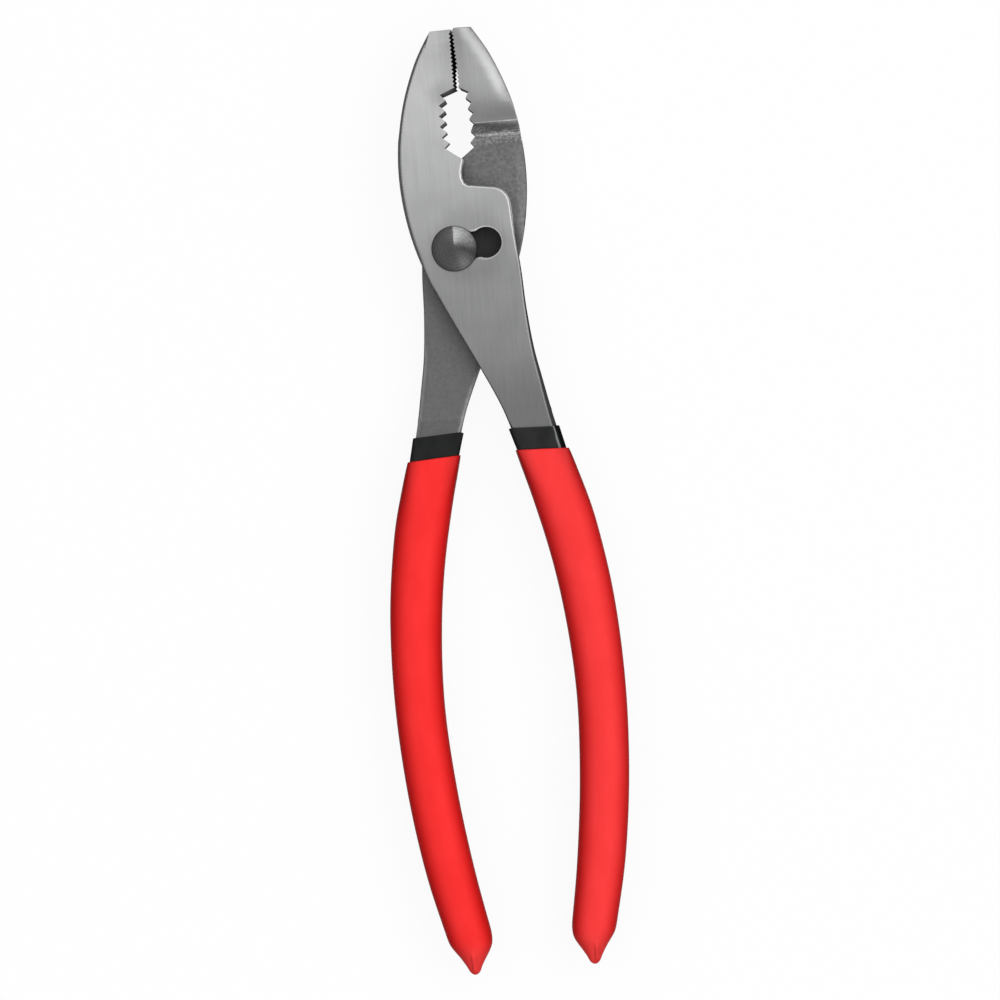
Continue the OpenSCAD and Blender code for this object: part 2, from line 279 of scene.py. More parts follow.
def draftAt(y, side):
    if side.x < -draft["sideways"]:
        jaw = mixOf(draft["jaw"], draft["tip"], blendOver(y, *draft["tipY"]))
        plate = mixOf(draft["plate"], jaw, blendOver(y, *draft["jawY"]))
        return mixOf(draft["inner"], plate, blendOver(y, *draft["plateY"]))
    if side.x > draft["sideways"] and y < draft["neckY"]:
        grow = 1 - between(y, *draft["tangY"])
        return mixOf(draft["neck"], draft["tang"], grow ** draft["tangPower"])
    return 0.0


def shiftTeeth(piece, node):
    # each layer of tooth points moves by its share of the two offsets
    top, bottom = teeth[node]["top"], teeth[node]["bottom"]
    highest, lowest = teeth["levels"][0], teeth["levels"][-1]
    half = teeth["levelHalf"]
    for first, last, amount in teeth["rows"]:
        for level in teeth["levels"]:
            share = between(level, lowest, highest)

            def inLayer(v):
                x, y, z = fromJoint(v.co)
                return inTeeth(v.co) and first <= y < last and level - half <= z < level + half

            if choose(piece, "VERT", inLayer):
                moveX = mixOf(bottom[0], top[0], share) * amount * mm
                moveY = mixOf(bottom[1], top[1], share) * amount * mm
                bpy.ops.transform.translate(value=(moveX, moveY, 0))


def leanFlats(piece, node):
    # below the face both flats lean the same way, so the gap between them is dark
    for i in range(flats["count"]):
        y = flats["first"] + flats["pitch"] * i
        lean = mixOf(*flats["lean"], blendOver(y, *flats["leanY"]))
        if choose(piece, "VERT", lambda v: inFlats(v.co, y) and v.co.z < flats["leanBelow"]):
            bpy.ops.transform.translate(value=(lean, 0, 0))
        if node == "rear_half" and choose(piece, "VERT", lambda v: inFlats(v.co, y)):
            bpy.ops.transform.translate(value=(-flats["close"] * blendOver(y, *flats["closeY"]), 0, 0))


def roundRearTip(piece):
    def inCorner(v):
        x, y, z = fromJoint(v.co)
        return y > tips["cornerY"] and x < tips["cornerX"]

    def upright(e):
        return abs(e.verts[0].co.z - e.verts[1].co.z) > tips["cornerTall"]

    choose(piece, "EDGE", lambda e: all(inCorner(v) for v in e.verts) and upright(e))
    bpy.ops.mesh.bevel(offset=tips["corner"], segments=2, affect="EDGES")


def trimFrontTip(piece):
    def inCorner(v):
        x, y, z = fromJoint(v.co)
        return y > tips["trimY"] and x > tips["trimX"]

    choose(piece, "VERT", inCorner)
    bpy.ops.transform.translate(value=(0, -tips["trim"], 0))


def flattenSlotRing(piece):
    faceZ = joint["lapZ"] + slotRing["face"]
    low, high = faceZ - slotRing["deep"], faceZ - slotRing["off"]
    choose(piece, "VERT", lambda v: inSlot(v.co) and low < v.co.z < high)
    bpy.ops.transform.resize(value=(1, 1, slotRing["share"]), center_override=(0, 0, faceZ))


def edgeWidth(e, middle):
    # how wide an edge of a half is rounded
    level = [f for f in e.link_faces if abs(f.normal.z) > lapSide["flat"]]
    if len(level) != 1:
        return 0
    x, y, z = fromJoint(middle)
    if y < zones["hiddenY"]:
        return forging["edgeHidden"]
    if y > zones["tipY"]:
        return forging["edgeTip"]
    if level[0].normal.z < 0:
        return forging["edge"]
    low, high = zones["shoulderEdgeY"]
    onShoulder = low < y < high and x > zones["shoulderEdgeX"]
    return forging["edgeShoulder"] if onShoulder else forging["edgeOuter"]


def roundEdges(piece):
    # every sharp edge outside the teeth and the slot gets its own width through its weight
    most = forging["edgeHidden"]
    shape = shapeOf(piece)
    layers = shape.edges.layers.float
    weight = layers.get("bevel_weight_edge") or layers.new("bevel_weight_edge")
    for e in shape.edges:
        e[weight] = 0
        if len(e.link_faces) != 2 or e.calc_face_angle(0) < math.radians(forging["sharpAngle"]):
            continue
        middle = middleOf(e)
        if not inTeeth(middle) and not inSlot(middle):
            e[weight] = min(1.0, edgeWidth(e, middle) / most)
    shape.to_mesh(piece.data)
    shape.free()
    rounding = piece.modifiers.new("rounded edges", "BEVEL")
    rounding.limit_method = "WEIGHT"
    rounding.width = most
    rounding.segments = forging["edgeSteps"]
    rounding.use_clamp_overlap = False
    applyAll(piece)


def lapEdge(piece, soft):
    # the edge line of the lap side that a soft edge follows
    shape = shapeOf(piece)
    low, high = soft["rise"][0] - lapSide["past"], soft["fall"][1] + lapSide["past"]
    line = []
    for e in shape.edges:
        under = [f for f in e.link_faces if f.normal.z < -lapSide["flat"]]
        walls = [f for f in e.link_faces if abs(f.normal.z) <= lapSide["flat"]]
        if len(under) != 1 or len(walls) != 1:
            continue
        middle = middleOf(e)
        faces = walls[0].normal.x * soft["side"] > lapSide["sideways"]
        if faces and not inTeeth(middle) and low < fromJoint(middle)[1] < high:
            line.append((e.verts[0].co.xy.copy(), e.verts[1].co.xy.copy()))
    shape.free()
    return line


def fromLine(point, line):
    nearest = 1.0
    for a, b in line:
        along = b - a
        share = (point - a).dot(along) / max(along.length_squared, 1e-15)
        share = min(1.0, max(0.0, share))
        nearest = min(nearest, (point - a - along * share).length)
    return nearest


def softenLap(piece, lines):
    # a fine grid on the lap side, then the edges drop away in a smooth curve
    def onPlate(f):
        y = fromJoint(f.calc_center_median())[1]
        return f.normal.z < lapSide["tilt"] and zones["plateY"][0] < y < zones["plateY"][1]

    def onSoft(f):
        return f.normal.z < lapSide["tilt"] and inSoftZone(f.calc_center_median())

    edit(piece)
    choose(piece, "FACE", onPlate)
    bpy.ops.mesh.bisect(plane_co=(joint["axisX"] + zones["plateX"] * mm, 0, 0), plane_no=(1, 0, 0))
    cuts = [((0, joint["axisY"] + y * mm, 0), (0, 1, 0)) for y in range(*forging["gridY"])]
    cuts += [((joint["axisX"] + i * forging["cellX"], 0, 0), (1, 0, 0)) for i in range(*forging["gridX"])]
    for place, normal in cuts:
        choose(piece, "FACE", onSoft)
        bpy.ops.mesh.bisect(plane_co=place, plane_no=normal)
    done()
    most = max(soft["drop"] for soft in softEdges)
    shape = shapeOf(piece)
    weights = {}
    for v in shape.verts:
        if not any(f.normal.z < lapSide["tilt"] for f in v.link_faces):
            continue
        y = fromJoint(v.co)[1]
        for soft, line in zip(softEdges, lines):
            strength = blendOver(y, *soft["rise"]) * (1 - blendOver(y, *soft["fall"]))
            if strength > 0:
                near = max(0.0, 1 - fromLine(v.co.xy, line) / soft["wide"])
                drop = near * near * strength * soft["drop"] / most
                weights[v.index] = max(weights.get(v.index, 0), drop)
    shape.free()
    displace(piece, weights, [("Z", most)])


def draftIn(piece):
    # the outer face's edge pulls in and keeps its level
    shape = shapeOf(piece)
    weights = {}
    for v in shape.verts:
        walls = [f.normal for f in v.link_faces if abs(f.normal.z) < draft["wallTilt"]]
        tops = [f for f in v.link_faces if f.normal.z > draft["faceTilt"]]
        x, y, z = fromJoint(v.co)
        if walls and tops and z > draft["above"] and not inTeeth(v.co) and not inSlot(v.co):
            weights[v.index] = draftAt(y, sum(walls, Vector()).normalized()) / draft["most"]
    shape.free()
    displace(piece, weights, [("NORMAL", -draft["most"] * math.sqrt(2)), ("Z", draft["most"])])


def makeForging(node, name, turned):
    piece = copyNode(node, name)
    edit(piece)
    shiftTeeth(piece, node)
    leanFlats(piece, node)
    if turned:
        roundRearTip(piece)
    else:
        trimFrontTip(piece)
        flattenSlotRing(piece)
    done()
    if turned:
        turnOver(piece)
    edit(piece, everything=True)
    bpy.ops.mesh.dissolve_limited(angle_limit=math.radians(forging["levelAngle"]))
    # cross cuts, so that the long faces shade evenly
    heights = [v.co.y for v in bmesh.from_edit_mesh(piece.data).verts]
    low, high = min(heights), max(heights)
    steps = int((high - low) / forging["strip"])
    for i in range(1, steps):
        cutY = low + (high - low) * i / steps
        if zones["shoulderY"][0] < (cutY - joint["axisY"]) / mm < zones["shoulderY"][1]:
            continue
        bpy.ops.mesh.select_all(action="SELECT")
        bpy.ops.mesh.bisect(plane_co=(0, cutY, 0), plane_no=(0, 1, 0))
    choose(piece, "VERT", lambda v: not inTeeth(v.co) and not inSlot(v.co))
    bpy.ops.mesh.remove_doubles(threshold=forging["near"])
    done()
    draftIn(piece)

    def onTip(v):
        x, y, z = fromJoint(v.co)
        return y > tips["backY"] and x < tips["backX"] and z > tips["backZ"]

    edit(piece)
    choose(piece, "VERT", onTip)
    bpy.ops.transform.translate(value=(0, tips["back"], 0))
    # the tang thins where the coats hide it
    for down in (0, forging["tangOver"]):
        bpy.ops.mesh.select_all(action="SELECT")
        bpy.ops.mesh.bisect(plane_co=(0, forging["tangFrom"] - down, 0), plane_no=(0, 1, 0))
    thinY = forging["tangFrom"] - forging["tangOver"] + forging["tangNear"]
    choose(piece, "VERT", lambda v: v.co.y < thinY)
    bpy.ops.transform.resize(value=(1, 1, forging["tangThin"]), center_override=(0, 0, joint["lapZ"]))
    done()

    # small rounding on the edges, then the wide soft ones of the lap side
    lines = [lapEdge(piece, soft) for soft in softEdges]
    roundEdges(piece)
    bare = bpy.data.objects.new(name + "-bare", piece.data.copy())   # the coats are dipped on this one
    bpy.context.scene.collection.objects.link(bare)
    softenLap(piece, lines)
    edit(piece, everything=True)
    bpy.ops.mesh.dissolve_degenerate(threshold=forging["speck"])
    done()
    if turned:
        turnOver(piece)
        turnOver(bare)
    return piece, bare


frontForging, frontBare = makeForging("front_half", "front-forging", False)
rearForging, rearBare = makeForging("rear_half", "rear-forging", True)
print("halves:", len(frontForging.data.polygons), "and", len(rearForging.data.polygons), "faces")


# black sleeves: the dipped coat follows the tang, and its dip line runs a little askew
sleeve = {"dipY": -40.9 * mm, "tilt": 2.6, "coat": 0.55 * mm}
handleX = {"front": 14.3 * mm, "rear": -7.7 * mm}   # middle of each handle at the dip lines


def makeSleeve(piece, name, tilt, middleX):
    piece.name = name
    lean = math.radians(tilt)
    edit(piece, everything=True)
    bpy.ops.mesh.bisect(
        plane_co=(middleX, sleeve["dipY"], 0),
        plane_no=(math.sin(lean), math.cos(lean), 0),
        clear_outer=True,
    )
    done()
    coat = piece.modifiers.new("dipped coat", "SOLIDIFY")
    coat.thickness = sleeve["coat"]
    coat.offset = 1
    coat.use_even_offset = True
    applyAll(piece)
    return piece


frontSleeve = makeSleeve(frontBare, "front-black-sleeve", sleeve["tilt"], handleX["front"])
rearSleeve = makeSleeve(rearBare, "rear-black-sleeve", -sleeve["tilt"], handleX["rear"])
for piece in (frontForging, rearForging, frontSleeve, rearSleeve):
    smoothFaces(piece, forging["shadeAngle"])
print("sleeves dipped")


# red grips
grip = {
    "dipY": -45.8 * mm, "tilt": 2.6, "levels": 2, "lipCrease": 0.4,
    "lipTilt": 0.9, "lipNear": 0.4 * mm, "dipNear": 0.2 * mm,   # what counts as the lip
    "quadAngles": (50, 60), "shadeAngle": 60,
    "round": 2.1,                     # 2 is an ellipse, more is squarer
    "ringLeast": 8,                   # smaller rings are the drip's end
    "lipFade": (-2 * mm, 15 * mm),    # the lip keeps the collar's squarer section
    "cavityThin": 0.05, "cavityFade": (2 * mm, 8 * mm),
}
# the drip at the end: drawn in at its sides, with a crease that is steep left of it and soft right
drip = {
    "top": -152.5 * mm, "topBand": 0.6 * mm,
    "pinch": 0.13, "pinchIn": (0.15, 0.6), "pinchOut": (0.75, 1.0),
    "high": 0.55 * mm, "steep": 0.35 * mm, "soft": 1.5 * mm,
    "ridgeIn": (0.3, 0.6), "ridgeOut": (0.85, 1.0),
}


def outerWall(piece):
    # the coat's outer vertices and its lip edges, walked from the outermost vertex; the rest is the cavity
    shape = shapeOf(piece)
    lipY = grip["dipY"] - grip["lipNear"]
    lips = {f for f in shape.faces if f.normal.y > grip["lipTilt"] and f.calc_center_median().y > lipY}
    start = max(shape.verts, key=lambda v: abs(v.co.x - joint["axisX"]))
    outer, queue = {start}, [start]
    while queue:
        for f in queue.pop().link_faces:
            if f in lips:
                continue
            for v in f.verts:
                if v not in outer:
                    outer.add(v)
                    queue.append(v)
    found = {v.index for v in outer}
    lipEdges = {e.index for f in lips for e in f.edges}
    shape.free()
    return found, lipEdges


def turnFrom(across, up):
    # angle round a ring, with the first point safely above nought
    safely = 0.05
    return (math.atan2(up, across) + safely) % (2 * math.pi)


def roundSection(piece, outer):
    # ring by ring, the squarish section becomes a rounder one of the same width and height
    lapZ = joint["lapZ"]
    rings = {}
    for v in piece.data.vertices:
        if v.index in outer:
            rings.setdefault(round(v.co.y / mm, 1), []).append(v)
    power = 2 / grip["round"]
    for ring in rings.values():
        if len(ring) < grip["ringLeast"]:
            continue
        left, right = min(v.co.x for v in ring), max(v.co.x for v in ring)
        middle, half = (left + right) / 2, (right - left) / 2
        tall = max(abs(v.co.z - lapZ) for v in ring)
        share = blendOver(grip["dipY"] - ring[0].co.y, *grip["lipFade"])
        ring.sort(key=lambda v: turnFrom((v.co.x - middle) / half, (v.co.z - lapZ) / tall))
        for i, v in enumerate(ring):
            turn = 2 * math.pi * i / len(ring)
            across, up = math.cos(turn), math.sin(turn)
            aimX = middle + half * math.copysign(abs(across) ** power, across)
            aimZ = lapZ + tall * math.copysign(abs(up) ** power, up)
            v.co.x += (aimX - v.co.x) * share
            v.co.z += (aimZ - v.co.z) * share
    # the cavity draws in with it
    for v in piece.data.vertices:
        if v.index not in outer:
            share = blendOver(grip["dipY"] - v.co.y, *grip["cavityFade"])
            v.co.z -= (v.co.z - lapZ) * grip["cavityThin"] * share


def raiseRidge(piece):
    # the drip dried with a crease down its upper side
    end = [v for v in piece.data.vertices if v.co.y < drip["top"]]
    tip = min(end, key=lambda v: v.co.y).co
    tipX, tipY = tip.x, tip.y
    top = [v.co.x for v in end if v.co.y > drip["top"] - drip["topBand"]]
    topX = (min(top) + max(top)) / 2
    weights = {}
    for v in end:
        down = min(1.0, (drip["top"] - v.co.y) / (drip["top"] - tipY))
        aside = v.co.x - (topX + (tipX - topX) * down)
        pinched = blendOver(down, *drip["pinchIn"]) * (1 - blendOver(down, *drip["pinchOut"]))
        v.co.x -= aside * drip["pinch"] * pinched
        if v.normal.z > 0:
            flank = 1 - blendOver(abs(aside), 0, drip["soft"] if aside > 0 else drip["steep"])
            fade = blendOver(down, *drip["ridgeIn"]) * (1 - blendOver(down, *drip["ridgeOut"]))
            weights[v.index] = flank * fade * v.normal.z
    displace(piece, weights, [("Z", drip["high"])])


def makeGrip(node, name, tilt, middleX):
    piece = copyNode(node, name)
    faceAngle, shapeAngle = grip["quadAngles"]
    edit(piece, everything=True)
    bpy.ops.mesh.tris_convert_to_quads(
        face_threshold=math.radians(faceAngle), shape_threshold=math.radians(shapeAngle)
    )
    done()
    outer, lipEdges = outerWall(piece)
    roundSection(piece, outer)
    # the dip line runs a little askew
    edit(piece)
    choose(piece, "VERT", lambda v: v.co.y > grip["dipY"] - grip["dipNear"])
    bpy.ops.transform.rotate(
        value=math.radians(tilt), orient_axis="Z", center_override=(middleX, grip["dipY"], joint["lapZ"])
    )
    done()
    creases = piece.data.attributes.new("crease_edge", "FLOAT", "EDGE")
    for e in piece.data.edges:
        if any(index not in outer for index in e.vertices):
            creases.data[e.index].value = 1.0
        elif e.index in lipEdges:
            creases.data[e.index].value = grip["lipCrease"]
    smooth = piece.modifiers.new("smooth coat", "SUBSURF")
    smooth.levels = grip["levels"]
    smooth.render_levels = grip["levels"]
    applyAll(piece)
    raiseRidge(piece)
    smoothFaces(piece, grip["shadeAngle"], weighted=False)
    return piece


frontGrip = makeGrip("front_grip", "front-red-grip", grip["tilt"], handleX["front"])
rearGrip = makeGrip("rear_grip", "rear-red-grip", -grip["tilt"], handleX["rear"])
print("grips:", len(frontGrip.data.polygons), "faces each")


# pivot bolt: turned head, flatted shank, end in the nut
bolt = {
    "headR": 5.05 * mm, "headTop": 14.7 * mm, "headSeat": 12.9 * mm, "rim": 0.5 * mm,
    "rimSoft": 0.14 * mm, "rimTurn": (0.04 * mm, 0.07 * mm), "rimDown": 0.2 * mm, "seatSoft": 0.08 * mm,
    "grooves": 17, "grooveDeep": 0.007 * mm,
    "shankR": 3.4 * mm, "flat": 2.9 * mm, "nutTop": 2.4 * mm, "endR": 2.7 * mm, "endRound": 0.3 * mm,
    "dimpleR": 0.9 * mm, "dimpleDeep": 0.25 * mm,
    "slotAngle": 6.5, "cutter": (9 * mm, 4 * mm),   # the block that cuts each flat
    "steps": 96, "weld": 0.002 * mm, "shadeAngle": 24,
}


def boltProfile():
    headR, seat, nutTop = bolt["headR"], bolt["headSeat"], bolt["nutTop"]
    dome = bolt["headTop"] - seat - bolt["rim"]
    ball = (headR ** 2 + dome ** 2) / (2 * dome)
    turns = bolt["grooves"] * 2
    reach = headR - bolt["rimSoft"]
    points = []
    for i in range(turns + 1):
        r = reach * i / turns
        z = bolt["headTop"] - (ball - math.sqrt(ball ** 2 - r ** 2))
        points.append((r, z - (bolt["grooveDeep"] if i % 2 else 0)))
    edge = points[-1][1]
    turnIn, turnDown = bolt["rimTurn"]
    points += [
        (headR - turnIn, edge - turnDown),
        (headR, edge - bolt["rimDown"]),
        (headR, seat + bolt["seatSoft"]),
        (headR - bolt["seatSoft"], seat),
        (bolt["shankR"], seat),
        (bolt["shankR"], joint["lapZ"]),
        (bolt["shankR"], nutTop),
        (bolt["endR"], nutTop),
        (bolt["endR"], bolt["endRound"]),
        (bolt["endR"] - bolt["endRound"], 0),
        (bolt["dimpleR"], 0),
        (0, bolt["dimpleDeep"]),
    ]
    return points


def cutFlat(piece, angle):
    # one of the two flats that pass the neck of the slot
    wide, deep = bolt["cutter"]
    out = bolt["flat"] + deep / 2
    bpy.ops.object.select_all(action="DESELECT")
    bpy.ops.mesh.primitive_cube_add(size=1)
    block = bpy.context.active_object
    block.scale = (wide, deep, bolt["headSeat"] - joint["lapZ"])
    block.location = (-math.sin(angle) * out, math.cos(angle) * out, (bolt["headSeat"] + joint["lapZ"]) / 2)
    block.rotation_euler = (0, 0, angle)
    cut = piece.modifiers.new("flat", "BOOLEAN")
    cut.object = block
    cut.operation = "DIFFERENCE"
    applyAll(piece)
    bpy.data.objects.remove(block)


def makeBolt():
    points = boltProfile()
    bpy.ops.object.select_all(action="DESELECT")
    bpy.ops.mesh.primitive_plane_add(size=1 * mm, location=(0, 0, 0))
    piece = bpy.context.active_object
    piece.name = "turned-pivot-bolt"
    # one point is drawn along the profile, then spun round the axis
    edit(piece, everything=True)
    bpy.ops.mesh.merge(type="CENTER")
    bpy.ops.mesh.select_all(action="SELECT")
    bpy.ops.transform.translate(value=(points[0][0], 0, points[0][1]))
    for a, b in zip(points, points[1:]):
        bpy.ops.mesh.extrude_region_move(TRANSFORM_OT_translate={"value": (b[0] - a[0], 0, b[1] - a[1])})
    bpy.ops.mesh.select_all(action="SELECT")
    bpy.ops.mesh.spin(steps=bolt["steps"], angle=2 * math.pi, center=(0, 0, 0), axis=(0, 0, 1))
    bpy.ops.mesh.select_all(action="SELECT")
    bpy.ops.mesh.remove_doubles(threshold=bolt["weld"])
    bpy.ops.mesh.normals_make_consistent(inside=False)
    done()
    for turn in (0, 180):
        cutFlat(piece, math.radians(bolt["slotAngle"] + turn))
    smoothFaces(piece, bolt["shadeAngle"])
    return piece


pivotBolt = makeBolt()


# pivot nut
nut = {"edge": 0.12 * mm, "levelAngle": 0.5, "sharpAngle": 24, "shadeAngle": 36}


def makeNut():
    piece = copyNode("pivot_nut", "hex-pivot-nut")
    sharp = math.radians(nut["sharpAngle"])
    edit(piece, everything=True)
    bpy.ops.mesh.dissolve_limited(angle_limit=math.radians(nut["levelAngle"]))
    choose(piece, "EDGE", lambda e: len(e.link_faces) == 2 and e.calc_face_angle(0) > sharp)
    bpy.ops.mesh.bevel(offset=nut["edge"], segments=2, affect="EDGES", clamp_overlap=True)
    done()
    smoothFaces(piece, nut["shadeAngle"])
    return piece


pivotNut = makeNut()
print("bolt and nut turned")


# helpers for the finishes
noiseSpan = (0.3, 0.7)        # a noise mostly stays within this
greyTint = (0.004, 0.01)      # greys lean to green and blue by this much
evenly = (1, 1, 1)
build = {"tree": None}        # the node tree that the helpers add to


def startTree(owner):
    owner.use_nodes = True
    build["tree"] = owner.node_tree
    return owner.node_tree.nodes


def newFinish(name):
    finish = bpy.data.materials.new(name)
    return finish, startTree(finish)["Principled BSDF"]


def plug(socket, value):
    if isinstance(value, bpy.types.NodeSocket):
        build["tree"].links.new(value, socket)
    else:
        socket.default_value = value


def put(kind, inputs=None, **settings):
    made = build["tree"].nodes.new(kind)
    for key, value in settings.items():
        setattr(made, key, value)
    for key, value in (inputs or {}).items():
        plug(made.inputs[key], value)
    return made


def noiseOf(spot, stretch, scale, detail, rough=0.55):
    placed = put("ShaderNodeMapping", {"Vector": spot, "Scale": stretch})
    settings = {"Vector": placed.outputs[0], "Scale": scale, "Detail": detail, "Roughness": rough}
    return put("ShaderNodeTexNoise", settings).outputs["Fac"]


def spread(value, fromLow, fromHigh, toLow=0.0, toHigh=1.0, smooth=True):
    settings = {"Value": value, "From Min": fromLow, "From Max": fromHigh, "To Min": toLow, "To Max": toHigh}
    made = put("ShaderNodeMapRange", settings)
    if smooth:
        made.interpolation_type = "SMOOTHSTEP"
    return made.outputs["Result"]


def fall(value, low, high):
    # one below low, nought above high
    return spread(value, low, high, 1.0, 0.0)


def shade(mask, share):
    # one where the mask is nought, the share where it is one
    return spread(mask, 0, 1, 1.0, share, smooth=False)


def sums(kind, a, b):
    return put("ShaderNodeMath", {0: a, 1: b}, operation=kind).outputs[0]


def plus(a, b):
    return sums("ADD", a, b)


def minus(a, b):
    return sums("SUBTRACT", a, b)


def times(a, b):
    return sums("MULTIPLY", a, b)


def larger(a, b):
    return sums("MAXIMUM", a, b)


def sizeOf(value):
    return sums("ABSOLUTE", value, 0.0)


def band(value, rise, drop):
    # one between the two ranges
    return times(spread(value, *rise), fall(value, *drop))


def distance(spot, place):
    made = put("ShaderNodeVectorMath", {0: spot, 1: place}, operation="DISTANCE")
    return made.outputs["Value"]


def flatSpot(x, y):
    return put("ShaderNodeCombineXYZ", {"X": x, "Y": y}).outputs[0]


def split(vector):
    return put("ShaderNodeSeparateXYZ", {0: vector}).outputs


def mixed(share, a, b):
    made = put("ShaderNodeMix", {0: share, 6: a, 7: b}, data_type="RGBA")   # factor and the two colours
    return made.outputs[2]


def grey(level, tint=1.0):
    green, blue = greyTint
    return (level, level * (1 + green * tint), level * (1 + blue * tint), 1)


def timesGrey(colour, factor):
    made = put("ShaderNodeVectorMath", {0: colour, 3: factor}, operation="SCALE")
    return made.outputs["Vector"]


def toneAlong(value, stops, low, high, unit):
    # grey level by a place along the tool, or by an angle
    settings = {"Value": value, "From Min": low * unit, "From Max": high * unit}
    share = put("ShaderNodeMapRange", settings).outputs["Result"]
    made = put("ShaderNodeValToRGB", {0: share})
    line = made.color_ramp
    line.interpolation = "EASE"
    ordered = sorted(((at - low) / (high - low), level) for at, level in stops)
    for element, (at, level) in zip(line.elements, (ordered[0], ordered[-1])):
        element.position = at
        element.color = grey(level)
    for at, level in ordered[1:-1]:
        line.elements.new(at).color = grey(level)
    return made.outputs["Color"]


def addBump(shader, relief, strength, high):
    bump = put("ShaderNodeBump", {"Height": relief, "Strength": strength, "Distance": high})
    plug(shader.inputs["Normal"], bump.outputs[0])


# steel of the halves: ground faces, rough forged faces on the lap side, painted shade on the walls
steel = {
    "streaks": ((1, 0.03, 1), 2600, 3), "clouds": (evenly, 160, 3), "pits": (evenly, 1400, 5, 0.65),
    "lapFacing": (0.25, 0.5), "recessDeep": (2.6 * mm, 4.2 * mm),
    "handleY": (-12 * mm, 4 * mm), "handlePits": 0.4,   # the handle is smoother than the head
    "rough": (0.36, 0.55), "roughStreak": 0.16,
    "bumpStreaks": 0.1, "bumpPits": 0.9, "bump": 0.35, "bumpHigh": 0.08 * mm,
}
groundLook = {
    "tone": [   # painted light: grey level by the place along the tool, in millimetres, paler at the tips, darker at the handle
        (48, 0.44), (36, 0.49), (29, 0.50), (19, 0.44), (8, 0.375), (-8, 0.27), (-20, 0.25), (-36, 0.175),
    ],
    "toneSpan": (-60, 60), "streak": 0.055, "streakShare": 0.55,
    "flatsShare": 0.86, "flatsX": (0.5 * mm, 5 * mm), "noseY": (28 * mm, 37 * mm),
    "jointMiddle": (3.6 * mm, 0.6 * mm, 12.85 * mm), "jointR": (5.5 * mm, 11 * mm), "jointShade": 0.84,
    "shadeSpotAt": (0.3 * mm, 34.4 * mm, 0), "shadeSpotR": (0.8 * mm, 4.2 * mm), "shadeSpot": 0.8,
    "rimFacing": (0.93, 0.99), "rim": 1.28, "ring": 1.75, "ringR": (7 * mm, 9 * mm),
    "stepShare": 0.41, "noseShare": 0.75,
}
forgedLook = {
    "dark": 0.13, "light": 0.195, "handle": 0.9,
    "line": 1.5, "lineWave": 1.2 * mm, "linePits": (0.38, 0.6, 0.1, 1.0),
    "lineRise": (22.6 * mm, 23.2 * mm), "lineDrop": (24.0 * mm, 24.6 * mm),
    "edgeHighlight": 1.4, "edgeHighlightFacing": (0.9, 0.995), "edgeHighlightY": (0, 4 * mm), "edgeHighlightPits": (0.35, 0.6, 0.4, 1.0),
    "handleHighlight": 1.9, "handleHighlightFacing": (0.1, 0.4), "handleHighlightY": (-24 * mm, -14 * mm),
}
stepLook = {
    "rise": (22.7 * mm, 23.8 * mm), "drop": (29 * mm, 31 * mm), "facing": (0.86, 0.94), "lift": 3.1,
    "mottle": (0.75, 1.25, 0.55, 1.2), "foot": (24.2 * mm, 25.6 * mm, 0.5, 1.0),
}
wallLook = {
    "facing": (0.36, 0.55), "wall": 0.05, "left": 0.26, "right": 0.07, "over": 1.5 * mm,
    "jawY": (33 * mm, 38 * mm), "leftX": (-4.5 * mm, 1.0 * mm), "rightX": (11 * mm, 12.5 * mm),
    "filed": 0.6, "filedX": (8 * mm, 5.2 * mm), "filedY": (2 * mm, 4 * mm), "tipY": (47.6 * mm, 48.2 * mm),
    "flank": 0.27, "flankX": (6 * mm, 6.6 * mm),   # tooth flanks get a paler painted shade
    "flankRise": (18 * mm, 19 * mm), "flankDrop": (35.0 * mm, 35.8 * mm),
}
seatShade = {"tone": 0.05, "at": (7.154 * mm, 0.815 * mm, 7.6 * mm), "reach": (5.5 * mm, 8.5 * mm)}


def steelPlaces(outward):
    # sockets that the steel's looks share
    coords = put("ShaderNodeTexCoord")
    spot = coords.outputs["Object"]
    place, facing = split(spot), split(coords.outputs["Normal"])
    at = {"spot": spot, "x": place["X"], "y": place["Y"]}
    at["flatness"] = sizeOf(facing["Z"])
    at["aside"] = sizeOf(facing["X"])
    at["apartX"] = sizeOf(minus(at["x"], joint["axisX"]))
    for name in ("streaks", "clouds", "pits"):
        at[name] = noiseOf(spot, *steel[name])
    at["lapSide"] = spread(times(facing["Z"], -outward), *steel["lapFacing"])
    depth = times(minus(place["Z"], joint["lapZ"]), -outward)
    at["recess"] = times(at["lapSide"], fall(depth, *steel["recessDeep"]))
    at["pitted"] = spread(at["y"], *steel["handleY"], steel["handlePits"], 1.0)
    return at


